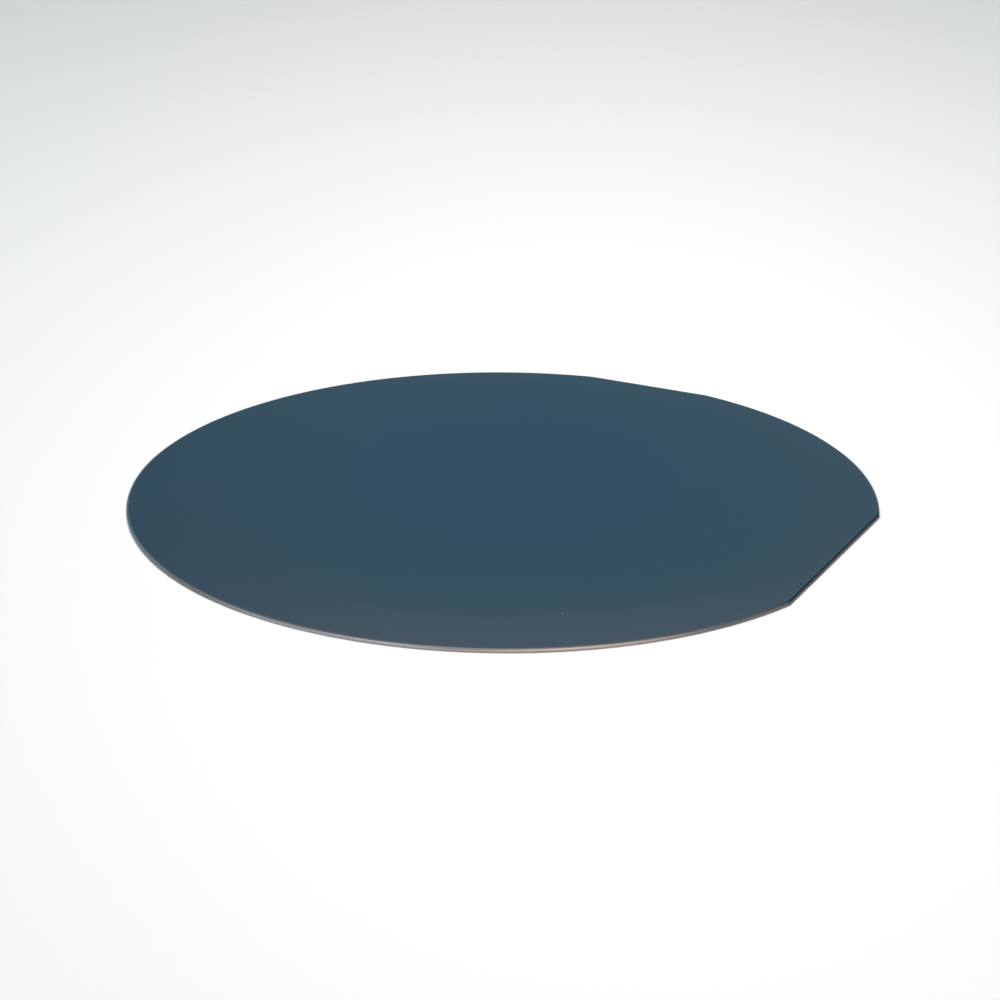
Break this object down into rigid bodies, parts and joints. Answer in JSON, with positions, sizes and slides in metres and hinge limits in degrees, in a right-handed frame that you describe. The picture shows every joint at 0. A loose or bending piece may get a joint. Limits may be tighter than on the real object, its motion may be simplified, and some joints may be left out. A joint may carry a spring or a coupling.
{
  "type": "silicon wafer",
  "caption": "Thin round silicon wafer with a polished face, a ground bevelled edge, a long primary flat and a short secondary flat at right angles to it.",
  "frame": {"origin": "centre of the round rim, on the plane of the back face that the wafer lies on", "axes": "+Z out of the polished face along the disc's axis, -Y out of the primary flat, +X out of the secondary flat"},
  "size_m": [0.0992, 0.0973, 0.0005],
  "materials": {
    "polished_silicon": "polished"
  },
  "bodies": {
    "root": {"wafer": "polished_silicon"}
  },
  "joints": []
}
